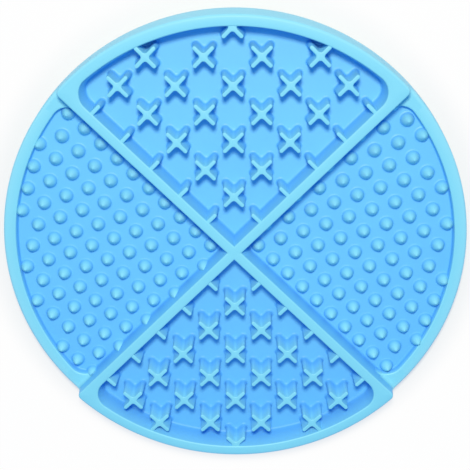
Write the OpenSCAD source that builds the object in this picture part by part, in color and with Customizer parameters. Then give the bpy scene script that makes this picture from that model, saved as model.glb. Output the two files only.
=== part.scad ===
// A round lick mat moulded in one piece of silicone: a flat sheet carries a rim and two
// crossing dividers, which part it into four pockets. The back and front pockets are deep
// and hold crossed ridges. The left and right pockets have a low rim and hold round bumps.
// X runs right, Y runs to the back, Z runs up, and the origin is the middle of the underside.

/* [Whole mat] */
// Diameter across the foot of the outer wall
mat_d = 201.5; // [184:0.5:220]
// Thickness of the sheet that is the floor of every pocket
sheet_t = 4.5; // [3:0.1:6]
// How far the outer wall leans in from its foot to the top of the frame
outer_lean = 1.2; // [0.3:0.1:1.6]
// Size of the bevel round the bottom edge of the sheet
foot_bevel = 0.8; // [0.4:0.1:1.2]

/* [Raised frame] */
// Height of the back rim, the front rim and the dividers above the floor
frame_rise = 11; // [10.8:0.1:14]
// Width of the top of every rim
rim_w = 4.65; // [3:0.05:6]
// Width of the top of a divider
divider_w = 4.2; // [3:0.1:6]
// Lean of the pocket walls from upright, in degrees
wall_lean = 6; // [3:0.5:8]
// Radius of the round pocket corners, at the top of the rim
corner_r = 7.5; // [6:0.5:10]
// Radius in plan of the four outer corners where the raised frame steps down
step_corner_r = 2.3; // [1:0.1:4]

/* [Low rims] */
// Height of the left and right rims above the floor
low_rise = 3.5; // [2.5:0.1:6]

/* [Crossed ridges] */
// Distance between neighbouring columns, and between neighbouring rows, of ridges
ridge_pitch = 11.6; // [10.5:0.1:13]
// Extra distance that the rows stand off from the middle line of the mat
row_offset = 1.6; // [1:0.1:2.2]
// Height of a ridge above the floor
ridge_h = 10.7; // [7:0.1:10.9]
// Length of one arm of a ridge, from its middle to its tip
ridge_arm = 5.8; // [5:0.1:7]
// Thickness of an arm of a ridge
ridge_w = 1.7; // [1.2:0.1:2.6]

/* [Bumps] */
// Distance between neighbouring bumps in a row, and between neighbouring rows
bump_pitch = 9.2; // [8.5:0.1:12]
// Diameter of a bump at the floor
bump_d = 6.3; // [4.5:0.1:6.8]
// Height of a bump above the floor
bump_h = 5.3; // [3.5:0.1:7]
// Radius of the rounded tip of a bump
bump_tip_r = 1.1; // [0.8:0.1:1.3]
// Distance from the middle line of the nearer divider to the first row of bumps
first_row = 7.3; // [6.8:0.1:8.5]
// Distance from the middle line of the other divider to the first bump of a row
first_bump = 2.7; // [2.4:0.1:4]

/* [Hidden] */
$fn = 96;

// Heights above the ground of the frame, the low rims and the tips of the ridges
frame_z = sheet_t + frame_rise;
low_z = sheet_t + low_rise;
// Radius of the outer wall at its foot and at the top of the frame
foot_r = mat_d / 2;
top_r = foot_r - outer_lean;
// Radius of the inner edge of every rim, on its top
inner_r = top_r - rim_w;
// Half the width of a divider on its top
half_w = divider_w / 2;
// Cuts run past the faces that they open by this much
overrun = 2 * rim_w;

// Radius of the outer wall at a height above the ground
function outer_r(z) = foot_r - outer_lean * z / frame_z;
// How far a leaning pocket wall stands out from its top edge, after a drop
function lean(drop) = drop * tan(wall_lean);
// Distance along a divider at which a pocket corner starts, where the wall stands off by w
function corner_start(w) = sqrt(pow(inner_r - corner_r, 2) - pow(w + corner_r, 2));

// Distance of the wall of a divider from its middle line, at the height of the low rims
low_half_w = half_w + lean(frame_z - low_z);
// Where the straight wall of a divider ends, in a deep pocket and in a low one
deep_end = corner_start(half_w);
low_end = corner_start(low_half_w);
// Angle between a divider and the end of the round corner on the rim
deep_angle = asin((half_w + corner_r) / (inner_r - corner_r));
low_angle = asin((low_half_w + corner_r) / (inner_r - corner_r));
// Half the size of the crossing, which reaches to where the feet of the walls meet
crossing = half_w + lean(frame_rise);
// Quarter turns from one pocket to the next
quarter = 90;
diagonal = quarter / 2;

// Colour of the top faces and of the floor
silicone = [0.50, 0.85, 0.98];
silicone_floor = [0.42, 0.78, 0.98];

// Turns a piece to its divider and mirrors it, so that +X runs out along the divider and +Y
// points into the deep pocket. Dividers are counted from the back right one, against the clock.
module at_divider(count) {
  rotate([0, 0, diagonal + count * quarter]) mirror([0, count % 2, 0]) children();
}

// A cross section of a divider, drawn out along X from one distance to another. As a cutter it
// sinks below the floor.
module divider_bar(from, to, sink = 0) {
  foot = half_w + lean(frame_rise + sink);
  foot_z = sheet_t - sink;
  translate([from, 0, 0]) rotate([90, 0, 90]) linear_extrude(to - from)
    polygon([[-foot, foot_z], [foot, foot_z], [half_w, frame_z], [-half_w, frame_z]]);
}

// A stretch of rim: its cross section turned through twice the half angle, about the middle
// of its pocket at a given angle. The inner wall leans, and so does the outer one.
module rim(middle, half_angle, rise) {
  top = sheet_t + rise;
  rotate([0, 0, middle - half_angle]) rotate_extrude(angle = 2 * half_angle)
    polygon([
      [inner_r - lean(rise), sheet_t], [outer_r(sheet_t), sheet_t],
      [outer_r(top), top], [inner_r, top]
    ]);
}

// The disc inside the outer wall, from the floor up to a rise above it
module inside_outer_wall(rise) {
  translate([0, 0, sheet_t]) cylinder(h = rise, r1 = outer_r(sheet_t), r2 = outer_r(sheet_t + rise));
}

// The round hollow of a pocket corner, which narrows towards the floor
module corner_hollow(along, aside, rise) {
  translate([along, aside, sheet_t]) cylinder(h = rise, r1 = corner_r - lean(rise), r2 = corner_r);
}

// A block in plan from the end of a divider's wall to the end of the round corner, and out
// past the outer wall. Its inner point is the centre of the corner's radius.
module corner_block(along, aside, angle, rise, side) {
  reach = foot_r + overrun;
  translate([0, 0, sheet_t]) linear_extrude(rise)
    polygon([
      [along, 0], [along, side * aside],
      [reach * cos(angle), side * reach * sin(angle)], [reach, 0]
    ]);
}

// The raised corner at the outer end of a divider: it joins the divider to the rim, fills the
// corner of the deep pocket to its radius, and steps down to the low rim on its other side.
module raised_corner() {
  aside = half_w + corner_r;
  // Centre of the radius where the step meets the outer wall
  edge_aside = half_w - step_corner_r;
  edge_along = sqrt(pow(top_r - step_corner_r, 2) - pow(edge_aside, 2));
  edge_foot_r = step_corner_r + lean(frame_rise);
  difference() {
    intersection() {
      inside_outer_wall(frame_rise);
      union() {
        corner_block(deep_end, aside, deep_angle, frame_rise, 1);
        divider_bar(deep_end, edge_along);
        translate([edge_along, -edge_aside, sheet_t])
          cylinder(h = frame_rise, r1 = edge_foot_r, r2 = step_corner_r);
      }
    }
    corner_hollow(deep_end, aside, frame_rise);
  }
}

// The low corner beside the raised one: it joins the low rim to the step, and fills the corner
// of the low pocket to its radius.
module low_corner() {
  aside = low_half_w + corner_r;
  difference() {
    intersection() {
      inside_outer_wall(low_rise);
      corner_block(low_end, aside, low_angle, low_rise, -1);
    }
    divider_bar(0, deep_end);
    raised_corner();
    corner_hollow(low_end, -aside, low_rise);
  }
}

// The square where the two dividers cross
module divider_crossing() {
  color(silicone) intersection() {
    union() {
      rotate([0, 0, diagonal]) divider_bar(-foot_r, foot_r);
      rotate([0, 0, -diagonal]) divider_bar(-foot_r, foot_r);
    }
    rotate([0, 0, diagonal]) translate([-crossing, -crossing, sheet_t])
      cube([2 * crossing, 2 * crossing, frame_rise]);
  }
}

module divider(count) {
  color(silicone) at_divider(count) divider_bar(crossing, deep_end);
}

// One arm of a ridge, from the middle of the ridge out to a round tip
module arm(length) {
  translate([0, -ridge_w / 2]) square([length - ridge_w / 2, ridge_w]);
  translate([length - ridge_w / 2, 0]) circle(d = ridge_w);
}

// A crossed ridge with four arms, turned like the dividers
module ridge() {
  linear_extrude(ridge_h) for (k = [0:3]) rotate(diagonal + k * quarter) arm(ridge_arm);
}

// Place of the ridge in a column and row of the deep pocket at the back
function ridge_place(column, row) = [column * ridge_pitch, row * ridge_pitch + row_offset];
// Greatest distance from the middle of the mat that a ridge in a column and row reaches
function ridge_reach(column, row) =
  norm([abs(column) * ridge_pitch, row * ridge_pitch + row_offset] + tip_step * [1, 1]);
tip_step = ridge_arm * sin(diagonal);

rows = floor(inner_r / ridge_pitch);
pocket_floor_r = inner_r - lean(frame_rise);
// A ridge whose column and row are both odd or both even, and that the dividers don't cross
function is_ridge(column, row) = (column + row) % 2 == 0 && abs(column) < row;
function fits_whole(column, row) = ridge_reach(column, row) < pocket_floor_r;
function meets_rim(column, row) =
  !fits_whole(column, row) && norm(ridge_place(column, row)) < inner_r;

// The ridges that stand clear of the rim
module ridges() {
  for (row = [1:rows], column = [-rows:rows])
    if (is_ridge(column, row) && fits_whole(column, row))
      translate(concat(ridge_place(column, row), sheet_t)) ridge();
}

// The ridges that run into the rim, cut to its leaning wall
module rim_ridges() {
  intersection() {
    for (row = [1:rows], column = [-rows:rows])
      if (is_ridge(column, row) && meets_rim(column, row))
        translate(concat(ridge_place(column, row), sheet_t)) ridge();
    translate([0, 0, sheet_t])
      cylinder(h = frame_rise, r1 = pocket_floor_r, r2 = inner_r);
  }
}

// The half ridges along one divider: a single arm square to it, in each row of ridges
module divider_stubs() {
  for (row = [1:rows]) {
    along = (2 * row * ridge_pitch + row_offset) * sin(diagonal);
    aside = row_offset * sin(diagonal);
    if (along + ridge_w < deep_end)
      difference() {
        translate([along, aside, sheet_t]) linear_extrude(ridge_h) rotate(quarter) arm(ridge_arm);
        divider_bar(0, foot_r);
      }
  }
}

// One bump: a blunt cone whose flank bulges a little. Its tip is rounded in two steps and has
// a small flat on top.
bump_steps = 4;
bump_bulge_share = 0.18;
tip_flat_share = 0.35;
function bump_tip(angle) = [bump_tip_r * sin(angle), bump_h - bump_tip_r * (1 - cos(angle))];
function bump_flank(share) =
  [bump_d / 2, 0] * (1 - share) + bump_tip(diagonal) * share
  + [bump_bulge_share * bump_d * share * (1 - share), 0];
module bump() {
  rotate_extrude($fn = 32)
    polygon(concat(
      [[0, 0]],
      [for (k = [0:bump_steps]) bump_flank(k / bump_steps)],
      [bump_tip(diagonal / 2), [tip_flat_share * bump_tip_r, bump_h], [0, bump_h]]
    ));
}

// Place of a bump in the left pocket, from its distances to the back left and the front left
// dividers. Every other row is moved along by half a pitch.
function bump_place(row, count) =
  let(
    s = first_row + row * bump_pitch,
    t = first_bump + (count + (row % 2 == 0 ? 1 / 2 : 0)) * bump_pitch
  )
  [-(s + t) * sin(diagonal), (t - s) * sin(diagonal)];
bump_rows = ceil(mat_d / bump_pitch);
low_floor_r = inner_r - lean(low_rise);
function bump_aside(place) = (-place.x - abs(place.y)) * sin(diagonal);
function bump_along(place) = (-place.x + abs(place.y)) * sin(diagonal);
function has_bump(place) = norm(place) < inner_r - bump_tip_r && bump_aside(place) > half_w;
// Whether the foot of a bump reaches the rim, the nearer divider, or the round of a corner
function meets_low_rim(place) = norm(place) + bump_d / 2 > low_floor_r;
function meets_divider(place) = bump_aside(place) - bump_d / 2 < crossing;
function meets_corner(place) =
  bump_along(place) + bump_d / 2 > low_end
  && atan2(bump_aside(place), bump_along(place)) < low_angle + corner_margin
  && norm(place - corner_centre(place)) + bump_d / 2 > corner_r - lean(low_rise);
// Angle by which a bump can be off the corner and still reach it
corner_margin = atan(bump_d / 2 / inner_r);
// Centre of the round of the corner that is nearer to a bump
function corner_centre(place) =
  let(side = sign(place.y))
  (low_end * [-1, side] - (low_half_w + corner_r) * [1, side]) * sin(diagonal);
// Turn that points a bump at the wall that it meets
function bump_turn(place) =
  let(from_centre = place - corner_centre(place))
  meets_corner(place) ? atan2(from_centre.y, from_centre.x)
  : meets_divider(place) ? diagonal * sign(place.y)
  : atan2(place.y, place.x);

// A hollow of a given radius with a wall that leans up to the low rim and is upright above it.
// It runs past both ends of a bump.
module low_hollow(radius) {
  translate([0, 0, sheet_t]) rotate_extrude()
    polygon([
      [0, -overrun], [radius - lean(low_rise + overrun), -overrun],
      [radius, low_rise], [radius, frame_rise], [0, frame_rise]
    ]);
}

// One bump of the left pocket, which ends where it meets a wall
module bump_at(place) {
  nearer = place.y > 0 ? 1 : 2;
  aside = low_half_w + corner_r;
  difference() {
    intersection() {
      translate(concat(place, sheet_t)) rotate([0, 0, bump_turn(place)]) bump();
      if (meets_low_rim(place)) low_hollow(inner_r);
    }
    if (meets_divider(place)) at_divider(nearer) divider_bar(0, foot_r, overrun);
    if (meets_corner(place)) at_divider(nearer) difference() {
      translate([0, 0, -overrun / 2])
        corner_block(low_end, aside, low_angle, frame_rise, -1);
      translate([low_end, -aside, 0]) low_hollow(corner_r);
    }
  }
}

// The bumps of the left pocket
module bumps() {
  for (row = [0:bump_rows], count = [0:bump_rows])
    if (has_bump(bump_place(row, count))) bump_at(bump_place(row, count));
}

module base_sheet() {
  color(silicone_floor) rotate_extrude()
    polygon([
      [0, 0], [outer_r(foot_bevel) - foot_bevel, 0], [outer_r(foot_bevel), foot_bevel],
      [outer_r(sheet_t), sheet_t], [0, sheet_t]
    ]);
}

module back_rim() color(silicone) rim(quarter, diagonal - deep_angle, frame_rise);
module front_rim() color(silicone) rim(3 * quarter, diagonal - deep_angle, frame_rise);
module right_rim() color(silicone) rim(0, diagonal - low_angle, low_rise);
module left_rim() color(silicone) rim(2 * quarter, diagonal - low_angle, low_rise);

module corner(count) color(silicone) at_divider(count) raised_corner();
module low_corner_at(count) color(silicone) at_divider(count) low_corner();
module stubs(count) color(silicone) at_divider(count) divider_stubs();

module back_ridges() color(silicone) ridges();
module front_ridges() color(silicone) mirror([0, 1, 0]) ridges();
module back_rim_ridges() color(silicone) rim_ridges();
module front_rim_ridges() color(silicone) mirror([0, 1, 0]) rim_ridges();

module left_bumps() color(silicone) bumps();
module right_bumps() color(silicone) rotate([0, 0, 2 * quarter]) bumps();

base_sheet();
back_rim();
front_rim();
left_rim();
right_rim();
divider_crossing();
divider(0);  // divider_back_right
divider(1);  // divider_back_left
divider(2);  // divider_front_left
divider(3);  // divider_front_right
corner(0);  // corner_back_right
corner(1);  // corner_back_left
corner(2);  // corner_front_left
corner(3);  // corner_front_right
low_corner_at(0);  // low_corner_back_right
low_corner_at(1);  // low_corner_back_left
low_corner_at(2);  // low_corner_front_left
low_corner_at(3);  // low_corner_front_right
back_ridges();
front_ridges();
back_rim_ridges();
front_rim_ridges();
stubs(0);  // divider_stubs_back_right
stubs(1);  // divider_stubs_back_left
stubs(2);  // divider_stubs_front_left
stubs(3);  // divider_stubs_front_right
left_bumps();
right_bumps();
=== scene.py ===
"""A round silicone lick mat with four pockets, as an add-on that models it piece by piece.

Every length is in metres. X runs right, Y runs to the back and Z runs up from the underside.
The mat is one moulding, so its pieces meet on shared cross sections and show no seam.
"""

import math

import bpy
import numpy as np
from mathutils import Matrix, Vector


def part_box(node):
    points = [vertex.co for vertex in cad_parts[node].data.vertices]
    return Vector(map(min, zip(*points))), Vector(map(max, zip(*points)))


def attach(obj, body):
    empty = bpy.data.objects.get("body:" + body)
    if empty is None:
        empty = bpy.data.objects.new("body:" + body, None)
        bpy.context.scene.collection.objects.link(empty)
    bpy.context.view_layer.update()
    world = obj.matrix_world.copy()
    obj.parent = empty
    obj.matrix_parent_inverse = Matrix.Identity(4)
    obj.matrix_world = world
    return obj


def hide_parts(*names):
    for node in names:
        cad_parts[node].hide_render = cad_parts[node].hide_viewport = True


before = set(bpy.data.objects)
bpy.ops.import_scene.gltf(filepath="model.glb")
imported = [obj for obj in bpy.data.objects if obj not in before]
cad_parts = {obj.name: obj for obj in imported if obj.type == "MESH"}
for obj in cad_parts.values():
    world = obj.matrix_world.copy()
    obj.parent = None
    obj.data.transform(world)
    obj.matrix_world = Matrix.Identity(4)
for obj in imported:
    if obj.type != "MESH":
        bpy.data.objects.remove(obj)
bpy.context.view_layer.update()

bl_info = {
    "name": "Lick Mat",
    "version": (1, 0, 0),
    "blender": (4, 5, 0),
    "location": "View3D > Sidebar > Lick Mat",
    "description": "Models a round silicone lick mat with ridged and bumpy pockets",
    "category": "Add Mesh",
}

BODY = "root"
DIVIDER_NAMES = ("back_right", "back_left", "front_left", "front_right")
QUARTER = math.pi / 2
DIAGONAL = math.pi / 4

# Heights of the floors and of the tops, and the radius of the sheet
FLOOR_Z = float(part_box("base_sheet")[1][2])
FRAME_Z = float(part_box("back_rim")[1][2])
LOW_Z = float(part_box("left_rim")[1][2])
RIDGE_Z = float(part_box("back_ridges")[1][2])
BUMP_Z = float(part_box("left_bumps")[1][2])
SHEET_RADIUS = float(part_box("base_sheet")[1][0])

# Every piece reaches this far into the sheet below it, so that no two faces coincide
SINK = 0.0003
# Edges that bend by more than this stay sharp
SHARP_ANGLE = math.radians(40)
# Sides of the sheet, points round its bottom edge, and sections of each rim
ROUND_STEPS = 360
FOOT_STEPS = 6
RIM_STEPS = 96
# How far the sections of a low corner crowd towards the step, on its rim and on its pocket side
RIM_CROWDING = 1.7
POCKET_CROWDING = 0.6
# Power with which a low corner's top straightens from the step to the rim
SEAM_POWER = 3
# How far a low corner starts inside the step, as a share of the lean over the step's fillet
TUCK_SHARE = 1.5
# Radii of a bump's rings as shares of its foot's, and where its hollow foot bends, out and up
BUMP_MARKS = np.array([0.05, 0.18, 0.36, 0.56, 0.75, 0.9, 0.985])
HOLLOW_OUT = 0.25
HOLLOW_UP = 0.22

# The attribute that holds each vertex's place on a scale of painted light and shade, and places on
# that scale: the floor's own colour, painted light up the walls and on the tops, a painted
# highlight on rounded edges and painted bounce light on the outer wall
PAINTED_LIGHT = "tone"
FLOOR_TONE = 0.2
PAINTED_WALL_LIGHT = 0.32
RIDGE_TONE = 0.2
PAINTED_CROWN_LIGHT = 0.6
PAINTED_EDGE_HIGHLIGHT = 0.78
PAINTED_OUTER_LIGHT = 1.0
# This far inside the sheet's edge a surface begins to turn to the outer wall's painted bounce
# light, over a fade
OUTER_BAND = 0.0024
OUTER_FADE = 0.0010
# Height of the hollow of a wall's foot, marks on it as shares, and how deep the painted shade is
# there
FOOT_REACH = 0.0012
FOOT_MARKS = np.array([0.0, 0.06, 0.3, 1.0])
FOOT_SHADE_DIPS = np.array([0.0, 0.5, 1.0, 0.4])
# Height at the top of a piece over which its painted light grows, and the share that is the edge's
# painted highlight
WALL_FADE = 0.0006
RIDGE_FADE = 0.0005
BUMP_FADE = 0.0046
HIGHLIGHT_BAND = 0.3
# Share by which a bump's foot is deeper in tone than the floor, a painted shade
BUMP_FOOT_SHADE = 0.25

# Waves a metre of the silicone's clouds, ripple and grain
CLOUD_SCALE = 55.0
RIPPLE_SCALE = 180.0
GRAIN_SCALE = 1500.0
# How much they change its tone, its roughness and its height
CLOUD_TONE = 0.08
CLOUD_ROUGHNESS = 0.12
GRAIN_ROUGHNESS = 0.06
RIPPLE_HEIGHT = 1.4
GRAIN_HEIGHT = 0.6
SKIN_STRENGTH = 0.5
SILICONE_IOR = 1.41
# In front of this Y a painted shade deepens the tones below the lit tops, at this rate
FRONT_SHADE_START = 0.06
FRONT_SHADE_RATE = 2.0

# The floor partly glows white: that share grows from NEAR to FAR between two radii
LIT_START = 0.099
LIT_END = 0.116
LIT_NEAR = 0.52
LIT_FAR = 0.97
WHITE = (1.0, 1.0, 1.0, 1.0)
# Half the width of the floor, and the camera's sensor in millimetres and nearest distance
FLOOR_REACH = 4.0
SENSOR_WIDTH = 36.0
CLIP_START = 0.01


# Sizes and colours that a user can change


def length(name, description, default, low=0.0, high=1.0):
    """A length property, in metres."""
    return bpy.props.FloatProperty(
        name=name,
        description=description,
        default=default,
        min=low,
        max=high,
        precision=5,
        subtype="DISTANCE",
        unit="LENGTH",
    )


def angle(name, description, degrees, low=-180.0, high=180.0):
    """An angle property, given in degrees and kept in radians."""
    return bpy.props.FloatProperty(
        name=name,
        description=description,
        default=math.radians(degrees),
        min=math.radians(low),
        max=math.radians(high),
        subtype="ANGLE",
        unit="ROTATION",
    )


def share(name, description, default, low=0.0, high=1.0):
    """A plain number property without a unit."""
    return bpy.props.FloatProperty(
        name=name, description=description, default=default, min=low, max=high
    )


def colour(name, description, default):
    """A linear colour property."""
    return bpy.props.FloatVectorProperty(
        name=name,
        description=description,
        default=default,
        min=0.0,
        max=1.0,
        size=3,
        subtype="COLOR",
    )


class LickMatFrame(bpy.types.PropertyGroup):
    """Sizes of the sheet, the rims and the dividers."""

    foot_radius: length("Foot radius", "Radius of the outer wall at the ground", 0.10072)
    outer_lean: length("Outer lean", "How far the outer wall leans in over its height", 0.0012)
    foot_round: length("Foot rounding", "Radius round the bottom edge", 0.0008)
    rim_width: length("Rim width", "Width of the top of every rim", 0.00465)
    divider_width: length("Divider width", "Width of the top of a divider", 0.0042)
    wall_lean: angle("Wall lean", "Lean of the pocket walls from upright", 6.0)
    corner_radius: length("Corner radius", "Radius of the pocket corners", 0.0075)
    step_radius: length("Step radius", "Radius of the frame's corner at the step", 0.0023)
    edge_round: length("Edge rounding", "Radius along the pocket edges", 0.0006)
    rim_round: length("Rim rounding", "Radius along the outer edge of a rim", 0.0013)
    foot_fillet: length("Foot fillet", "Radius where a tall wall meets the floor", 0.0010)
    low_fillet: length("Low fillet", "Radius where a low wall meets the floor", 0.0007)
    step_fillet: length("Step fillet", "Radius where the step meets the low rim", 0.0020)


class LickMatRidges(bpy.types.PropertyGroup):
    """Sizes of the crossed ridges of the deep pockets."""

    pitch: length("Pitch", "Distance between columns, and between rows", 0.0116)
    row_offset: length("Row offset", "Extra distance of the rows from the middle", 0.0016)
    arm: length("Arm", "Length of an arm from the middle to its tip", 0.0058)
    width: length("Width", "Thickness of an arm", 0.00165)
    wall_lean: angle("Wall lean", "Lean of a ridge's sides from upright", 3.0)
    edge_round: length("Edge rounding", "Radius along the top of a ridge", 0.0003)
    inner_round: length("Inner rounding", "Radius between two arms", 0.0012)
    foot_fillet: length("Foot fillet", "Radius where a ridge meets the floor", 0.0009)


class LickMatBumps(bpy.types.PropertyGroup):
    """Sizes of the bumps of the shallow pockets."""

    pitch: length("Pitch", "Distance between bumps, and between rows", 0.0092)
    radius: length("Radius", "Radius of a bump at the floor", 0.00315)
    first_row: length("First row", "Distance from a divider to the first row", 0.00725)
    first_bump: length("First bump", "Distance from the other divider", 0.00274)
    flank_power: share("Flank power", "Power of the radius in a bump's profile", 1.35, 0.5, 4.0)
    height_power: share("Height power", "Power of the height in a bump's profile", 0.9, 0.3, 4.0)
    foot_fillet: length("Foot fillet", "Reach of the hollow round a bump's foot", 0.0005)
    rim_space: length("Rim space", "Least distance of a bump's middle from a rim's edge", 0.0011)
    round_steps: bpy.props.IntProperty(
        name="Sides", description="Sides of a bump", default=16, min=8, max=64
    )


class LickMatSilicone(bpy.types.PropertyGroup):
    """Colours and finish of the silicone; the colours of the foot, the tops and the outer wall are
    painted shade and light.
    """

    # The foot's colour is painted shade where walls meet the floor, the tops' paler colour is
    # painted light, and the outer wall's palest colour is painted bounce light
    foot: colour("Foot", "Deepest colour, where walls meet the floor", (0.103, 0.435, 0.87))
    floor: colour("Floor", "Colour of the floors and of most of each wall", (0.150, 0.535, 0.90))
    painted_crown_light: colour("Crown", "Paler colour of the tops", (0.218, 0.650, 0.84))
    outer: colour("Outer", "Palest colour, of the outer wall", (0.290, 0.720, 0.88))
    roughness: share("Roughness", "Roughness of the satin skin", 0.48)
    grain: length("Grain", "Depth of the fine moulded grain", 0.00002, 0.0, 0.001)


class LickMatStage(bpy.types.PropertyGroup):
    """Camera, lamps and backdrop."""

    camera_place: bpy.props.FloatVectorProperty(
        name="Camera place",
        description="Where the camera stands",
        default=(0.00664, 0.13512, 0.37656),
        size=3,
        precision=5,
        subtype="TRANSLATION",
        unit="LENGTH",
    )
    camera_turn: bpy.props.FloatVectorProperty(
        name="Camera turn",
        description="Turn of the camera about X, Y and Z",
        default=[math.radians(a) for a in (-19.35157, 0.83848, -0.43680)],
        size=3,
        subtype="EULER",
        unit="ROTATION",
    )
    lens: bpy.props.FloatProperty(
        name="Lens", description="Focal length in millimetres", default=69.39, min=10.0
    )
    key_place: bpy.props.FloatVectorProperty(
        name="Key lamp place",
        description="Where the main lamp hangs",
        default=(0.0, 0.25, 0.425),
        size=3,
        subtype="TRANSLATION",
        unit="LENGTH",
    )
    key_size: length("Key lamp size", "Width of the main lamp", 0.08, 0.01, 5.0)
    key_power: share("Key lamp power", "Power of the main lamp", 10.6, 0.0, 100.0)
    key_tint: colour("Key lamp tint", "Colour of the main lamp", (1.0, 0.83, 0.55))
    sky: colour("Sky", "Even light from all round", (0.078, 0.31, 0.62))
    backdrop: colour("Backdrop", "Colour of the floor", (0.75, 0.75, 0.75))


# Surfaces as numpy arrays


def wall_profile(rise, lean, top_round, foot_round=None, steps=5):
    """Cross section of a wall, from the top face to the floor.

    Gives distances out from the sharp top edge and heights up from the top face. An arc of
    radius top_round touches the top face and the wall, the wall leans out by the angle lean, and
    a hollow arc of radius foot_round touches the wall and the floor a rise below the top. Without
    foot_round the wall ends sharply at the floor. rise may be a column of values.
    """
    rise = np.atleast_2d(np.asarray(rise, float))
    turn = np.linspace(QUARTER, lean, steps)[None]
    top_out = top_round * (np.cos(turn) - (1 - math.sin(lean)) / math.cos(lean))
    top_up = top_round * (np.sin(turn) - 1)
    top_out, top_up = (np.repeat(part, len(rise), 0) for part in (top_out, top_up))
    if foot_round is None:
        foot_out, foot_up = rise * math.tan(lean), -rise
    else:
        turn = np.linspace(math.pi + lean, 1.5 * math.pi, steps)[None]
        middle = (foot_round - (foot_round - rise) * math.sin(lean)) / math.cos(lean)
        foot_out = middle + foot_round * np.cos(turn)
        foot_up = foot_round * (1 + np.sin(turn)) - rise
    return np.concatenate([top_out, foot_out], 1), np.concatenate([top_up, foot_up], 1)


def at_heights(flat, heights):
    """Points of a plan, each raised to its height."""
    level = np.broadcast_to(heights, flat.shape[:-1])
    return np.concatenate([flat, level[..., None]], -1)


def wall_points(edge, normal, profile, top):
    """A wall along an edge: edge plus normal times the profile's distance, at its height."""
    out, up = profile
    return at_heights(edge[:, None] + normal[:, None] * out[..., None], top + up)


def sunk(points, inset):
    """One more point below the end of each wall: moved in by inset and sunk into the sheet."""
    last = points[:, -1:] + inset
    last[..., 2] = FLOOR_Z - SINK
    return np.concatenate([points, last], 1)


def inward(normal, reach):
    """A column of steps against a wall's normal, of a given reach."""
    step = np.zeros((len(normal), 1, 3))
    step[:, 0, :2] = -normal * reach
    return step


def rail(inner, outer, between=None):
    """Rings of a bar: up the inner wall, across the top and down the outer wall."""
    parts = [inner[:, ::-1], outer] if between is None else [inner[:, ::-1], between, outer]
    return np.concatenate(parts, 1)


def skin(rings):
    """Vertices and faces of a shell through rings of points, with a lid on both end rings.

    Face (i, j) joins points j and j + 1 of rings i and i + 1.
    """
    count, around = rings.shape[:2]
    index = np.arange(count * around).reshape(count, around)
    here, ahead = index[:-1], index[1:]
    quads = np.stack([here, np.roll(here, -1, 1), np.roll(ahead, -1, 1), ahead], -1)
    faces = quads.reshape(-1, 4).tolist()
    faces += [index[0, ::-1].tolist(), index[-1].tolist()]
    return rings.reshape(-1, 3), faces


def copies(vertices, faces, places):
    """The same shell at many places, as one list of vertices and faces."""
    moved = (places[:, None] + vertices[None]).reshape(-1, 3)
    size = len(vertices)
    return moved, [[k * size + v for v in face] for k in range(len(places)) for face in faces]


def turned(vertices, turn, mirror=False):
    """Vertices turned about Z by an angle, after a mirror across Y if asked."""
    flip = -1.0 if mirror else 1.0
    c, s = math.cos(turn), math.sin(turn)
    return vertices @ np.array([[c, s, 0], [-s * flip, c * flip, 0], [0, 0, 1]])


def signed_volume(vertices, faces):
    """Volume inside a shell: the sum over its triangles of corner . (corner x corner) / 6."""
    fans = [(f[0], f[k], f[k + 1]) for f in faces for k in range(1, len(f) - 1)]
    a, b, c = (vertices[np.array(fans)[:, k]] for k in range(3))
    return np.einsum("ij,ij->", a, np.cross(b, c)) / 6


def painted_light_share(vertices, top, fade, foot_shade, wall):
    """Where each vertex lies on the scale of painted light and shade, from 0 at a foot to the
    outer wall's painted bounce light outside.

    It is FLOOR_TONE, the floor's own colour, at the floor, lower in the hollow of a foot by the
    given share of painted shade, climbs evenly as painted light to the tone wall a distance fade
    below the height top, from there to the painted highlight at the rounded edge, and is the
    painted light of the tops on the top. A piece that stays below the floor has FLOOR_TONE.
    """
    rise = vertices[:, 2] - FLOOR_Z
    if top > FLOOR_Z:
        known = FOOT_MARKS * FOOT_REACH
        upper = np.array([top - fade, top - HIGHLIGHT_BAND * fade, top]) - FLOOR_Z
        known = np.append(known, np.maximum(upper, known[-1:]))
        tones = FLOOR_TONE * (1 - foot_shade * FOOT_SHADE_DIPS)
        share_up = np.interp(rise, known, np.append(tones, [wall, PAINTED_EDGE_HIGHLIGHT, PAINTED_CROWN_LIGHT]))
    else:
        share_up = np.full_like(rise, FLOOR_TONE)
    reach = np.hypot(vertices[:, 0], vertices[:, 1]) - (SHEET_RADIUS - OUTER_BAND)
    outside = np.clip(reach / OUTER_FADE, 0, 1)
    return share_up + (PAINTED_OUTER_LIGHT - share_up) * outside


def add_piece(name, shell, nodes, top, fade=WALL_FADE, foot_shade=1.0, wall=PAINTED_WALL_LIGHT):
    """Makes a closed shell an object that stands for CAD nodes and rides on the mat's body.

    The last four values say how its painted light and shade run, as in the tone scale above.
    """
    vertices, faces = shell
    if signed_volume(vertices, faces) < 0:
        faces = [face[::-1] for face in faces]
    mesh = bpy.data.meshes.new(name)
    mesh.from_pydata(vertices.tolist(), [], faces)
    if mesh.validate():
        raise RuntimeError(f"{name} has faces that Blender had to mend")
    tone = mesh.attributes.new(PAINTED_LIGHT, "FLOAT", "POINT")
    tone.data.foreach_set("value", painted_light_share(vertices, top, fade, foot_shade, wall))
    mesh.shade_smooth()
    mesh.set_sharp_from_angle(angle=SHARP_ANGLE)
    piece = bpy.data.objects.new(name, mesh)
    bpy.context.scene.collection.objects.link(piece)
    mesh.materials.append(silicone_material())
    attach(piece, BODY)
    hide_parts(*nodes)


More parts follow.
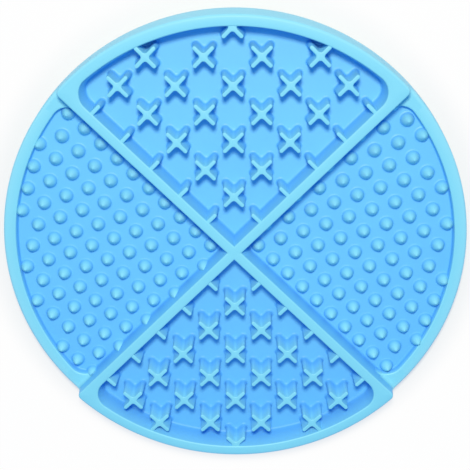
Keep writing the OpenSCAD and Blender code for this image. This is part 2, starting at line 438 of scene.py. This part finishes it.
def add_on_dividers(stem, shell, top, **tones):
    """Adds a piece for each divider from a shell that lies along X, turned or also mirrored."""
    vertices, faces = shell
    for count, name in enumerate(DIVIDER_NAMES):
        placed = turned(vertices, DIAGONAL + count * QUARTER, count % 2 == 1)
        node = f"{stem}_{name}"
        add_piece(node + "_skin", (placed, faces), [node], top, **tones)


# Sizes that follow from the properties


def outer_radius(shape, z):
    """Radius of the outer wall at a height: the foot's radius less its share of the lean."""
    return shape.foot_radius - shape.outer_lean * z / FRAME_Z


def outer_angle(shape):
    """Lean of the outer wall as an angle."""
    return math.atan(shape.outer_lean / FRAME_Z)


def inner_radius(shape):
    """Radius of the inner edge of a rim's top."""
    return outer_radius(shape, FRAME_Z) - shape.rim_width


def hidden_radius(shape):
    """Radius of a circle under the middle of the rims, where other pieces end unseen."""
    return inner_radius(shape) + shape.rim_width / 2


def half_divider(shape, z=FRAME_Z):
    """Half the width of a divider at a height, or on its top."""
    return shape.divider_width / 2 + (FRAME_Z - z) * math.tan(shape.wall_lean)


def corner_centre(shape, z):
    """Centre of a pocket corner whose top is at z, along a divider and aside from it."""
    aside = half_divider(shape, z) + shape.corner_radius
    return math.sqrt((inner_radius(shape) - shape.corner_radius) ** 2 - aside**2), aside


def step_centre(shape):
    """Centre of the step's radius, along a divider and aside from it, on the low side."""
    aside = half_divider(shape) - shape.step_radius
    along = math.sqrt((outer_radius(shape, FRAME_Z) - shape.step_radius) ** 2 - aside**2)
    return np.array([along, aside])


def arc(turns):
    """Unit vectors at a row of angles."""
    return np.stack([np.cos(turns), np.sin(turns)], -1)


def circle(steps):
    """Unit vectors at even steps round a circle."""
    return arc(np.arange(steps) * 2 * math.pi / steps)


def tall_wall(shape):
    """Profile of the walls of the deep pockets and of both sides of a divider."""
    return wall_profile(FRAME_Z - FLOOR_Z, shape.wall_lean, shape.edge_round, shape.foot_fillet)


def outer_wall(shape, top):
    """Profile of the outer wall, from a rim's top down to the sheet."""
    return wall_profile(top - FLOOR_Z, outer_angle(shape), shape.rim_round)


def rim_rings(shape, turns, top, inner_profile):
    """Cross sections of a rim at a row of angles round the mat."""
    ray = arc(turns)
    inner = wall_points(inner_radius(shape) * ray, -ray, inner_profile, top)
    outer = wall_points(outer_radius(shape, top) * ray, ray, outer_wall(shape, top), top)
    return rail(sunk(inner, 0.0), sunk(outer, inward(ray, SINK)))


def raised_corner_rings(shape, steps=30):
    """Cross sections of a raised corner, from the divider round to the rim.

    The inner wall follows the corner's arc about its centre. The outer wall follows the straight
    step, then an arc of the step's radius, then the circle of the outer wall, at equal shares of
    its length. The outer wall's profile turns from the step's into the rim's along that arc.
    """
    along, aside = corner_centre(shape, FRAME_Z)
    end = math.atan2(aside, along)
    ray = arc(np.linspace(-QUARTER, end, steps + 1))
    inner_edge = np.array([along, aside]) + shape.corner_radius * ray
    inner = wall_points(inner_edge, -ray, tall_wall(shape), FRAME_Z)

    half, radius = half_divider(shape), shape.step_radius
    top_radius = outer_radius(shape, FRAME_Z)
    centre = step_centre(shape) * [1.0, -1.0]
    first = math.atan2(centre[1], centre[0])
    spans = np.array([centre[0] - along, radius * (QUARTER + first), top_radius * (end - first)])
    marks = np.concatenate([[0], np.cumsum(spans)])
    travel = np.linspace(0, marks[-1], steps + 1)
    line, bend, sweep = (
        np.clip((travel - marks[k]) / spans[k], 0, 1)[:, None] for k in range(3)
    )
    bend_ray = arc(-QUARTER + (QUARTER + first) * bend[:, 0])
    sweep_ray = arc(first + (end - first) * sweep[:, 0])
    edge = np.where(
        sweep > 0,
        top_radius * sweep_ray,
        np.where(
            bend > 0,
            centre + radius * bend_ray,
            np.array([along, -half]) + np.array([1.0, 0.0]) * spans[0] * line,
        ),
    )
    normal = np.where(sweep > 0, sweep_ray, bend_ray)
    step = wall_profile(FRAME_Z - FLOOR_Z, shape.wall_lean, shape.edge_round)
    rim = outer_wall(shape, FRAME_Z)
    ease = bend * bend * (3 - 2 * bend)
    profile = tuple(a + (b - a) * ease for a, b in zip(step, rim))
    outer = wall_points(edge, normal, profile, FRAME_Z)
    return rail(sunk(inner, 0.0), sunk(outer, inward(normal, SINK)))


def step_rise(shape, gap):
    """Height of the hollow fillet beside the step, over the low rim.

    gap is the distance from the step's wall at the low rim's level. The fillet is an arc that
    touches the low rim and the leaning wall, and stays level inside the wall.
    """
    radius, lean = shape.step_fillet, shape.wall_lean
    reach = radius * (1 - math.sin(lean)) / math.cos(lean)
    inside = np.clip(reach - gap, 0, radius * math.cos(lean))
    return radius - np.sqrt(radius**2 - inside**2)


def low_corner_rings(shape, steps=36, across=9):
    """Cross sections of a low corner, which fan out from the step to the low rim.

    In this frame Y points into the low pocket. The top is a blend of four curves: the arc of the
    pocket's corner, the circle of the outer wall, the outline of the step and a straight line
    across the rim. It rises beside the step by step_rise.
    """
    along, aside = corner_centre(shape, LOW_Z)
    end = math.atan2(aside, along)
    wall = half_divider(shape, LOW_Z)
    radius = shape.step_radius + (FRAME_Z - LOW_Z) * math.tan(shape.wall_lean)
    centre = step_centre(shape)
    tuck = TUCK_SHARE * shape.step_fillet * math.tan(shape.wall_lean)

    def gap(points):
        straight = points[..., 1] - wall
        round_end = np.linalg.norm(points - centre, axis=-1) - radius
        return np.where(points[..., 0] < centre[0], straight, round_end)

    share_along = (np.arange(steps + 1) / steps) ** RIM_CROWDING
    ray = arc(-QUARTER + (end + QUARTER) * share_along**POCKET_CROWDING)
    inner_edge = np.array([along, aside]) + shape.corner_radius * ray
    inner_edge[0, 1] -= tuck

    rim_radius = outer_radius(shape, LOW_Z)
    first = math.atan2(centre[1], centre[0])
    outer_ray = arc(first + (end - first) * share_along)
    outer_edge = rim_radius * outer_ray

    top = LOW_Z + step_rise(shape, gap(inner_edge))[:, None]
    lift = (top - LOW_Z) * math.tan(shape.wall_lean)
    out, up = wall_profile(
        top - FLOOR_Z, shape.wall_lean, shape.edge_round, shape.low_fillet
    )
    inner = wall_points(inner_edge, -ray, (out - lift, up), top)
    top_outer = LOW_Z + step_rise(shape, gap(outer_edge))[:, None]
    out, up = wall_profile(top_outer - FLOOR_Z, outer_angle(shape), shape.rim_round)
    lift = (top_outer - LOW_Z) * math.tan(outer_angle(shape))
    outer = wall_points(outer_edge, outer_ray, (out - lift, up), top_outer)

    start, stop = inner[:, 0, :2], outer[:, 0, :2]
    part = np.linspace(0, 1, across + 2)[1:-1]
    line_end = np.array([centre[0], wall - tuck])
    straight = np.linalg.norm(line_end - start[0])
    bend = radius * (QUARTER - first)
    travel = part * (straight + bend)
    along_line = start[0] + (line_end - start[0]) * np.clip(travel / straight, 0, 1)[:, None]
    swing = np.clip((travel - straight) / bend, 0, 1)
    reach = radius - tuck + (rim_radius - np.linalg.norm(centre) - radius + tuck) * swing
    swung = centre + reach[:, None] * arc(QUARTER - (QUARTER - first) * swing)
    seam = np.where(travel[:, None] <= straight, along_line, swung)
    chord = start[0] + (stop[0] - start[0]) * part[:, None]
    flat = (
        start[:, None]
        + (stop - start)[:, None] * part[None, :, None]
        + (seam - chord)[None] * ((1 - share_along) ** SEAM_POWER)[:, None, None]
    )
    between = at_heights(flat, LOW_Z + step_rise(shape, gap(flat)))
    rings = rail(sunk(inner, 0.0), sunk(outer, inward(outer_ray, SINK)), between)
    rings[..., 1] *= -1
    return rings


def crossing_shell(shape):
    """The crossing as a grid whose height is the higher of the two dividers' profiles.

    Grid lines follow the profile's own points, and a square on the diagonal is cut from its
    inner to its outer corner, so the mitre between two walls is exact.
    """
    out, up = (part[0] for part in tall_wall(shape))
    offset = np.concatenate([[0.0], half_divider(shape) + out])
    height = np.concatenate([[FRAME_Z], FRAME_Z + up])
    line = np.concatenate([-offset[:0:-1], offset])
    level = np.concatenate([height[:0:-1], height])
    size = len(line)
    x, y = np.meshgrid(line, line, indexing="ij")
    z = np.maximum(level[:, None], level[None])
    vertices = np.stack([x, y, z], -1).reshape(-1, 3)
    index = np.arange(size * size).reshape(size, size)
    a, b, c, d = index[:-1, :-1], index[1:, :-1], index[1:, 1:], index[:-1, 1:]
    i, j = np.meshgrid(np.arange(size - 1), np.arange(size - 1), indexing="ij")
    rising, falling = i == j, i + j == size - 2
    plain = ~(rising | falling)
    faces = np.stack([a, b, c, d], -1)[plain].tolist()
    faces += np.stack([a, b, c], -1)[rising].tolist()
    faces += np.stack([a, c, d], -1)[rising].tolist()
    faces += np.stack([a, b, d], -1)[falling].tolist()
    faces += np.stack([b, c, d], -1)[falling].tolist()
    border = np.concatenate([index[:-1, 0], index[-1, :-1], index[:0:-1, -1], index[0, :0:-1]])
    low = vertices[border].copy()
    low[:, 2] = FLOOR_Z - SINK
    under = len(vertices) + np.arange(len(border))
    faces += np.stack(
        [border, under, np.roll(under, -1), np.roll(border, -1)], -1
    ).tolist()
    faces.append(under[::-1].tolist())
    return turned(np.concatenate([vertices, low]), DIAGONAL), faces


def ridge_profile(ridges):
    """Profile of a ridge's side, from its top to below the floor, as distances and heights."""
    rise, lean = RIDGE_Z - FLOOR_Z, ridges.wall_lean
    out, up = wall_profile(rise, lean, ridges.edge_round, ridges.foot_fillet, steps=4)
    out, up = out[0], up[0]
    return np.append(out, out[-1]), np.append(up + RIDGE_Z, FLOOR_Z - SINK)


def crossed_rings(ridges, tip_steps=7, inner_steps=4):
    """Outlines of a crossed ridge, one for each point of its profile.

    Each arm ends in a half circle of radius half the width plus the profile's distance. Between
    two arms runs a quarter arc of the inner rounding's radius.
    """
    out, height = ridge_profile(ridges)
    half = ridges.width / 2
    inner = ridges.inner_round
    corner = half + out[:, None] + inner
    tip_turn = np.linspace(-QUARTER, QUARTER, tip_steps)[None]
    inner_turn = np.linspace(3 * QUARTER, 2 * QUARTER, inner_steps)[None]
    tip = np.stack(
        [
            ridges.arm - half + (half + out)[:, None] * np.cos(tip_turn),
            (half + out)[:, None] * np.sin(tip_turn),
        ],
        -1,
    )
    between = np.stack(
        [corner + inner * np.cos(inner_turn), corner + inner * np.sin(inner_turn)], -1
    )
    arm = at_heights(np.concatenate([tip, between], 1), height[:, None])
    return np.concatenate([turned(arm, DIAGONAL + k * QUARTER) for k in range(4)], 1)


def stub_rings(shape, ridges, reach, tip_steps=7):
    """Outlines of an arm that leaves a divider's middle along Y and ends in a half circle."""
    out, height = ridge_profile(ridges)
    half = ridges.width / 2
    wide = (half + out)[:, None]
    turn = np.linspace(0, math.pi, tip_steps)[None]
    tip = np.stack([wide * np.cos(turn), reach - half + wide * np.sin(turn)], -1)
    root = np.full_like(wide, half_divider(shape) / 2)
    back = np.stack([np.concatenate([-wide, wide], 1), np.concatenate([root, root], 1)], -1)
    return at_heights(np.concatenate([tip, back], 1), height[:, None])


def ridge_places(shape, ridges):
    """Places of the whole ridges of the back pocket, and of those that run into its rim."""
    count = int(inner_radius(shape) / ridges.pitch)
    column, row = np.meshgrid(np.arange(-count, count + 1), np.arange(1, count + 1))
    kept = ((column + row) % 2 == 0) & (np.abs(column) < row)
    x = column[kept] * ridges.pitch
    y = row[kept] * ridges.pitch + ridges.row_offset
    tip = ridges.arm * math.sin(DIAGONAL)
    reach = np.hypot(np.abs(x) + tip, y + tip)
    floor_radius = inner_radius(shape) - (FRAME_Z - FLOOR_Z) * math.tan(shape.wall_lean)
    place = np.stack([x, y, np.zeros_like(x)], -1)
    whole = reach < floor_radius
    meets = ~whole & (np.hypot(x, y) < inner_radius(shape))
    return place[whole], place[meets]


def bump_rings(bumps):
    """Rings of one bump from its tip down.

    Its height over the floor is the full height times (1 - t ** flank_power) ** height_power,
    where t is the radius as a share of the foot's. A hollow ring leads its foot into the floor.
    """
    height = (1 - BUMP_MARKS**bumps.flank_power) ** bumps.height_power
    height *= (BUMP_Z - FLOOR_Z) / height[0]
    fillet = bumps.foot_fillet
    foot = bumps.radius + fillet * np.array([HOLLOW_OUT, 1.0, 1.0])
    radius = np.concatenate([BUMP_MARKS * bumps.radius, foot])
    height = np.concatenate([height, [HOLLOW_UP * fillet, 0.0, -SINK]])
    return at_heights(radius[:, None, None] * circle(bumps.round_steps), FLOOR_Z + height[:, None])


def bump_places(shape, bumps):
    """Places of the bumps of the left pocket, on rows that follow the back left divider."""
    count = int(2 * inner_radius(shape) / bumps.pitch)
    row, number = np.meshgrid(np.arange(count), np.arange(count), indexing="ij")
    from_back = bumps.first_row + row * bumps.pitch
    from_front = bumps.first_bump + (number + (row % 2 == 0) / 2) * bumps.pitch
    radius = np.hypot(from_back, from_front)
    kept = radius < inner_radius(shape) - bumps.rim_space
    kept &= np.minimum(from_back, from_front) > half_divider(shape)
    s, t = from_back[kept], from_front[kept]
    slant = math.sin(DIAGONAL)
    return np.stack([-(s + t) * slant, (t - s) * slant, np.zeros_like(s)], -1)


def kept_in_pocket(shape, points):
    """Points of the left pocket's bumps, drawn back to the pocket's outline if they pass it.

    A point past the rim's circle moves towards the mat's middle, and a point past the arc of a
    corner towards that arc's centre.
    """
    flat = points[:, :2].copy()
    radius = np.linalg.norm(flat, axis=1, keepdims=True)
    flat *= np.minimum(1, inner_radius(shape) / radius)
    along, aside = corner_centre(shape, LOW_Z)
    slant = math.sin(DIAGONAL)
    for side in (1, -1):
        centre = (along * np.array([-1, side]) + aside * np.array([-1, -side])) * slant
        reach_along = (side * flat[:, 1] - flat[:, 0]) * slant
        reach_aside = -(flat[:, 0] + side * flat[:, 1]) * slant
        turn = np.arctan2(reach_aside, reach_along)
        in_corner = (reach_along > along) & (turn < math.atan2(aside, along))
        offset = flat - centre
        distance = np.linalg.norm(offset, axis=1)
        pull = shape.corner_radius / np.maximum(distance, shape.corner_radius)
        flat = centre + offset * np.where(in_corner, pull, 1.0)[:, None]
    return np.concatenate([flat, points[:, 2:]], 1)


# Material


class Wire:
    """A socket inside a material. Arithmetic on it adds Math nodes."""

    def __init__(self, graph, socket):
        self.graph, self.socket = graph, socket

    def maths(self, operation, first, second, clamp=False):
        """The result of a Math node on two numbers or wires, kept from 0 to 1 if asked."""
        settings = {"operation": operation, "use_clamp": clamp}
        return self.graph.node("ShaderNodeMath", settings, {0: first, 1: second})[0]

    def __add__(self, other):
        return self.maths("ADD", self, other)

    def __radd__(self, other):
        return self.maths("ADD", other, self)

    def __sub__(self, other):
        return self.maths("SUBTRACT", self, other)

    def __rsub__(self, other):
        return self.maths("SUBTRACT", other, self)

    def __mul__(self, other):
        return self.maths("MULTIPLY", self, other)

    def __rmul__(self, other):
        return self.maths("MULTIPLY", other, self)


class Graph:
    """The nodes of one material or world."""

    def __init__(self, tree):
        tree.nodes.clear()
        self.tree = tree

    def node(self, kind, settings=None, inputs=None):
        """Adds a node of a type, sets its settings, then its sockets, and gives its outputs."""
        made = self.tree.nodes.new(kind)
        for name, value in (settings or {}).items():
            if name == "stops":
                ramp = made.color_ramp
                while len(ramp.elements) < len(value):
                    ramp.elements.new(1.0)
                for element, (position, tone) in zip(ramp.elements, value):
                    element.position, element.color = position, tone
            else:
                setattr(made, name, value)
        for key, value in (inputs or {}).items():
            if isinstance(value, Wire):
                self.tree.links.new(value.socket, made.inputs[key])
            else:
                made.inputs[key].default_value = value
        return [Wire(self, socket) for socket in made.outputs]


def noise(graph, place, scale, detail, roughness):
    """Grey noise from 0 to 1 with a number of waves a metre."""
    inputs = {"Vector": place, "Scale": scale, "Detail": detail, "Roughness": roughness}
    return graph.node("ShaderNodeTexNoise", {"noise_dimensions": "3D"}, inputs)[0]


def seen_directly(graph):
    """1 for rays from the camera, also by way of a glossy or a clear surface, 0 for others."""
    rays = graph.node("ShaderNodeLightPath")
    return rays[0].maths("ADD", rays[0] + rays[3], rays[6], True)


def silicone_material():
    """Satin silicone with a faint cloudiness and a fine moulded grain.

    Its colour follows the pieces' painted light and shade: painted shade at the feet, painted
    light up the walls and on the tops, a painted highlight on the edges and painted bounce light
    on the outer wall. Below the lit tops a painted shade deepens towards the front.
    """
    name = "Pale blue silicone"
    if name in bpy.data.materials:
        return bpy.data.materials[name]
    finish = bpy.context.scene.lick_mat_silicone
    material = bpy.data.materials.new(name)
    material.use_nodes = True
    graph = Graph(material.node_tree)
    place = graph.node("ShaderNodeTexCoord")[3]
    clouds = noise(graph, place, CLOUD_SCALE, detail=3.0, roughness=0.55)
    grain = noise(graph, place, GRAIN_SCALE, detail=2.0, roughness=0.6)
    ripple = noise(graph, place, RIPPLE_SCALE, detail=1.0, roughness=0.5)
    # Each vertex's place on the scale of painted light and shade
    level = graph.node("ShaderNodeAttribute", {"attribute_name": PAINTED_LIGHT})[2]
    # A painted shade that deepens the tones below the lit tops towards the front
    back = graph.node("ShaderNodeSeparateXYZ", None, {0: place})[1]
    front_shade = back.maths("MULTIPLY", FRONT_SHADE_START - back, FRONT_SHADE_RATE, True)
    below = level.maths("SUBTRACT", PAINTED_CROWN_LIGHT, level, True)
    # Colours of the scale: painted shade at the foot, the floor's own colour, painted light on the
    # tops and painted bounce light on the outer wall; the clouds add a random tone
    tone = graph.node(
        "ShaderNodeValToRGB",
        {
            "stops": [
                (0.0, (*finish.foot, 1.0)),
                (FLOOR_TONE, (*finish.floor, 1.0)),
                (PAINTED_CROWN_LIGHT, (*finish.painted_crown_light, 1.0)),
                (PAINTED_OUTER_LIGHT, (*finish.outer, 1.0)),
            ]
        },
        {0: level - front_shade * below + (clouds - 0.5) * CLOUD_TONE},
    )[0]
    height = grain * GRAIN_HEIGHT + ripple * RIPPLE_HEIGHT
    bump = graph.node(
        "ShaderNodeBump",
        None,
        {"Strength": SKIN_STRENGTH, "Distance": finish.grain, "Height": height},
    )[0]
    unevenness = (clouds - 0.5) * CLOUD_ROUGHNESS + (grain - 0.5) * GRAIN_ROUGHNESS
    shader = graph.node(
        "ShaderNodeBsdfPrincipled",
        None,
        {
            "Base Color": tone,
            "Roughness": finish.roughness + unevenness,
            "IOR": SILICONE_IOR,
            "Normal": bump,
        },
    )[0]
    graph.node("ShaderNodeOutputMaterial", None, {"Surface": shader})
    return material


def backdrop_material():
    """A floor that is nearly white to the camera and keeps a faint shadow."""
    material = bpy.data.materials.new("White floor")
    material.use_nodes = True
    graph = Graph(material.node_tree)
    place = graph.node("ShaderNodeTexCoord")[3]
    away = graph.node("ShaderNodeVectorMath", {"operation": "LENGTH"}, {0: place})[1]
    lit = graph.node(
        "ShaderNodeMapRange",
        {"interpolation_type": "SMOOTHSTEP"},
        {0: away, 1: LIT_START, 2: LIT_END, 3: LIT_NEAR, 4: LIT_FAR},
    )[0]
    floor = bpy.context.scene.lick_mat_stage.backdrop
    matt = graph.node("ShaderNodeBsdfDiffuse", None, {"Color": (*floor, 1.0)})[0]
    glow = graph.node("ShaderNodeEmission", None, {"Color": WHITE, "Strength": 1.0})[0]
    mixed = {0: seen_directly(graph) * lit, 1: matt, 2: glow}
    shader = graph.node("ShaderNodeMixShader", None, mixed)[0]
    graph.node("ShaderNodeOutputMaterial", None, {"Surface": shader})
    return material


# Operators, one for each group of pieces


class LICKMAT_OT_sheet(bpy.types.Operator):
    """Models the round sheet that is the floor of every pocket"""

    bl_idname = "lickmat.sheet"
    bl_label = "Sheet"
    bl_options = {"REGISTER", "UNDO"}

    def execute(self, context):
        shape = context.scene.lick_mat_frame
        lean, radius = outer_angle(shape), shape.foot_round
        turn = np.linspace(-QUARTER, lean, FOOT_STEPS)
        reach = outer_radius(shape, 0.0) - radius * (1 + math.sin(lean)) / math.cos(lean)
        edges = [outer_radius(shape, FLOOR_Z), hidden_radius(shape)]
        out = np.concatenate([reach + radius * np.cos(turn), edges])
        height = np.concatenate([radius * (1 + np.sin(turn)), [FLOOR_Z, FLOOR_Z]])
        rings = at_heights(out[:, None, None] * circle(ROUND_STEPS), height[:, None])
        add_piece("base_sheet_skin", skin(rings), ["base_sheet"], 0.0)
        return {"FINISHED"}


class LICKMAT_OT_rims(bpy.types.Operator):
    """Models the two raised rims and the two low rims"""

    bl_idname = "lickmat.rims"
    bl_label = "Rims"
    bl_options = {"REGISTER", "UNDO"}

    def execute(self, context):
        shape = context.scene.lick_mat_frame
        low_profile = wall_profile(
            LOW_Z - FLOOR_Z, shape.wall_lean, shape.edge_round, shape.low_fillet
        )
        for name, middle, top, profile in (
            ("back_rim", QUARTER, FRAME_Z, tall_wall(shape)),
            ("front_rim", 3 * QUARTER, FRAME_Z, tall_wall(shape)),
            ("left_rim", 2 * QUARTER, LOW_Z, low_profile),
            ("right_rim", 0.0, LOW_Z, low_profile),
        ):
            along, aside = corner_centre(shape, top)
            half = DIAGONAL - math.atan2(aside, along)
            turns = np.linspace(middle - half, middle + half, RIM_STEPS + 1)
            add_piece(name + "_skin", skin(rim_rings(shape, turns, top, profile)), [name], top)
        return {"FINISHED"}


class LICKMAT_OT_dividers(bpy.types.Operator):
    """Models the four arms of the cross and the block where they meet"""

    bl_idname = "lickmat.dividers"
    bl_label = "Dividers"
    bl_options = {"REGISTER", "UNDO"}

    def execute(self, context):
        shape = context.scene.lick_mat_frame
        profile = tall_wall(shape)
        near = half_divider(shape) + float(profile[0][0, -1])
        far = corner_centre(shape, FRAME_Z)[0]
        edge = np.array([[near, half_divider(shape)], [far, half_divider(shape)]])
        side = np.array([[0.0, 1.0], [0.0, 1.0]])
        mirror = np.array([1.0, -1.0])
        left = wall_points(edge, side, profile, FRAME_Z)
        right = wall_points(edge * mirror, -side, profile, FRAME_Z)
        add_on_dividers("divider", skin(rail(sunk(left, 0.0), sunk(right, 0.0))), FRAME_Z)
        crossing = crossing_shell(shape)
        add_piece("divider_crossing_skin", crossing, ["divider_crossing"], FRAME_Z)
        return {"FINISHED"}


class LICKMAT_OT_corners(bpy.types.Operator):
    """Models the raised corners and the low corners at the outer ends of the dividers"""

    bl_idname = "lickmat.corners"
    bl_label = "Corners"
    bl_options = {"REGISTER", "UNDO"}

    def execute(self, context):
        shape = context.scene.lick_mat_frame
        add_on_dividers("corner", skin(raised_corner_rings(shape)), FRAME_Z)
        add_on_dividers("low_corner", skin(low_corner_rings(shape)), LOW_Z)
        return {"FINISHED"}


class LICKMAT_OT_ridges(bpy.types.Operator):
    """Models the crossed ridges of both deep pockets, also those that run into a rim"""

    bl_idname = "lickmat.ridges"
    bl_label = "Ridges"
    bl_options = {"REGISTER", "UNDO"}

    def execute(self, context):
        scene = context.scene
        shape = scene.lick_mat_frame
        ridges = scene.lick_mat_ridges
        vertices, faces = skin(crossed_rings(ridges))
        whole, meets = ridge_places(shape, ridges)
        # Ridge walls keep the floor's colour above a painted shade at their foot; their tops get
        # painted light and a painted highlight
        tones = {"fade": RIDGE_FADE, "wall": RIDGE_TONE}
        for pocket, side in (("back", 1.0), ("front", -1.0)):
            for kind, places in (("ridges", whole), ("rim_ridges", meets)):
                points, shell_faces = copies(vertices, faces, places * [1.0, side, 1.0])
                radius = np.linalg.norm(points[:, :2], axis=1, keepdims=True)
                points[:, :2] *= np.minimum(1, hidden_radius(shape) / radius)
                name = f"{pocket}_{kind}"
                add_piece(name + "_skin", (points, shell_faces), [name], RIDGE_Z, **tones)
        return {"FINISHED"}


class LICKMAT_OT_stubs(bpy.types.Operator):
    """Models the single ridge arms that leave each divider on its deep side"""

    bl_idname = "lickmat.stubs"
    bl_label = "Divider stubs"
    bl_options = {"REGISTER", "UNDO"}

    def execute(self, context):
        scene = context.scene
        shape = scene.lick_mat_frame
        ridges = scene.lick_mat_ridges
        slant = math.sin(DIAGONAL)
        reach = ridges.row_offset * slant + ridges.arm
        rows = np.arange(1, int(inner_radius(shape) / ridges.pitch) + 1)
        along = (2 * rows * ridges.pitch + ridges.row_offset) * slant
        along = along[along + ridges.width < corner_centre(shape, FRAME_Z)[0]]
        places = np.stack([along, np.zeros_like(along), np.zeros_like(along)], -1)
        stubs = copies(*skin(stub_rings(shape, ridges, reach)), places)
        # Stub walls keep the floor's colour above a painted shade at their foot; their tops get
        # painted light and a painted highlight
        tones = {"fade": RIDGE_FADE, "wall": RIDGE_TONE}
        add_on_dividers("divider_stubs", stubs, RIDGE_Z, **tones)
        return {"FINISHED"}


class LICKMAT_OT_bumps(bpy.types.Operator):
    """Models the bumps of both shallow pockets"""

    bl_idname = "lickmat.bumps"
    bl_label = "Bumps"
    bl_options = {"REGISTER", "UNDO"}

    def execute(self, context):
        scene = context.scene
        shape = scene.lick_mat_frame
        bumps = scene.lick_mat_bumps
        vertices, faces = copies(*skin(bump_rings(bumps)), bump_places(shape, bumps))
        left = kept_in_pocket(shape, vertices)
        for name, turn in (("left_bumps", 0.0), ("right_bumps", 2 * QUARTER)):
            shell = turned(left, turn), faces
            # Each bump grows paler towards its tip as painted light, over a painted shade ring at
            # its foot
            add_piece(name + "_skin", shell, [name], BUMP_Z, BUMP_FADE, BUMP_FOOT_SHADE)
        return {"FINISHED"}


class LICKMAT_OT_stage(bpy.types.Operator):
    """Sets up the floor, the lamps and the camera"""

    bl_idname = "lickmat.stage"
    bl_label = "Stage"
    bl_options = {"REGISTER", "UNDO"}

    def execute(self, context):
        scene = context.scene
        stage = scene.lick_mat_stage
        scene.view_settings.view_transform = "Standard"
        signs = np.array([[-1, -1, 0], [1, -1, 0], [1, 1, 0], [-1, 1, 0]])
        mesh = bpy.data.meshes.new("Floor")
        mesh.from_pydata((FLOOR_REACH * signs).tolist(), [], [(0, 1, 2, 3)])
        mesh.materials.append(backdrop_material())
        floor = bpy.data.objects.new("Floor", mesh)
        scene.collection.objects.link(floor)

        world = bpy.data.worlds.new("Soft room")
        world.use_nodes = True
        graph = Graph(world.node_tree)
        mixed = {0: seen_directly(graph), 6: (*stage.sky, 1.0), 7: WHITE}
        tone = graph.node("ShaderNodeMix", {"data_type": "RGBA"}, mixed)[2]
        sky = graph.node("ShaderNodeBackground", None, {"Color": tone, "Strength": 1.0})[0]
        graph.node("ShaderNodeOutputWorld", None, {"Surface": sky})
        scene.world = world

        lamp = bpy.data.lights.new("Key lamp", "AREA")
        lamp.shape, lamp.size, lamp.energy = "DISK", stage.key_size, 1.0
        lamp.use_nodes = True
        graph = Graph(lamp.node_tree)
        even = graph.node("ShaderNodeLightFalloff", None, {"Strength": stage.key_power})[2]
        tint = {"Color": (*stage.key_tint, 1.0), "Strength": even}
        glow = graph.node("ShaderNodeEmission", None, tint)[0]
        graph.node("ShaderNodeOutputLight", None, {"Surface": glow})
        key = bpy.data.objects.new("Key lamp", lamp)
        key.location = stage.key_place
        key.rotation_euler = (-key.location).to_track_quat("-Z", "Y").to_euler()
        scene.collection.objects.link(key)

        lens = bpy.data.cameras.new("Camera")
        lens.sensor_width, lens.lens, lens.clip_start = SENSOR_WIDTH, stage.lens, CLIP_START
        camera = bpy.data.objects.new("Camera", lens)
        camera.location = stage.camera_place
        camera.rotation_euler = stage.camera_turn
        scene.collection.objects.link(camera)
        scene.camera = camera
        return {"FINISHED"}


class LICKMAT_PT_panel(bpy.types.Panel):
    """Lists the steps that model the mat"""

    bl_idname = "LICKMAT_PT_panel"
    bl_label = "Lick Mat"
    bl_space_type = "VIEW_3D"
    bl_region_type = "UI"
    bl_category = "Lick Mat"

    def draw(self, context):
        for step in STEPS:
            self.layout.operator(step.bl_idname)
        for group in GROUPS:
            values = getattr(context.scene, group)
            box = self.layout.box()
            for name in values.__annotations__:
                box.prop(values, name)


GROUPS = {
    "lick_mat_frame": LickMatFrame,
    "lick_mat_ridges": LickMatRidges,
    "lick_mat_bumps": LickMatBumps,
    "lick_mat_silicone": LickMatSilicone,
    "lick_mat_stage": LickMatStage,
}
STEPS = (
    LICKMAT_OT_stage,
    LICKMAT_OT_sheet,
    LICKMAT_OT_rims,
    LICKMAT_OT_dividers,
    LICKMAT_OT_corners,
    LICKMAT_OT_ridges,
    LICKMAT_OT_stubs,
    LICKMAT_OT_bumps,
)


def register():
    """Registers the classes and hangs the groups of sizes on the scene."""
    for kind in (*GROUPS.values(), *STEPS, LICKMAT_PT_panel):
        bpy.utils.register_class(kind)
    for name, kind in GROUPS.items():
        setattr(bpy.types.Scene, name, bpy.props.PointerProperty(type=kind))


def unregister():
    """Takes back what register did."""
    for name in GROUPS:
        delattr(bpy.types.Scene, name)
    for kind in (LICKMAT_PT_panel, *reversed(STEPS), *reversed(tuple(GROUPS.values()))):
        bpy.utils.unregister_class(kind)


def plain(box):
    """A box as plain lists of numbers."""
    return [[float(value) for value in corner] for corner in box]


def main():
    register()
    for step in STEPS:
        area, name = step.bl_idname.split(".")
        getattr(getattr(bpy.ops, area), name)()


if __name__ == "__main__":
    main()
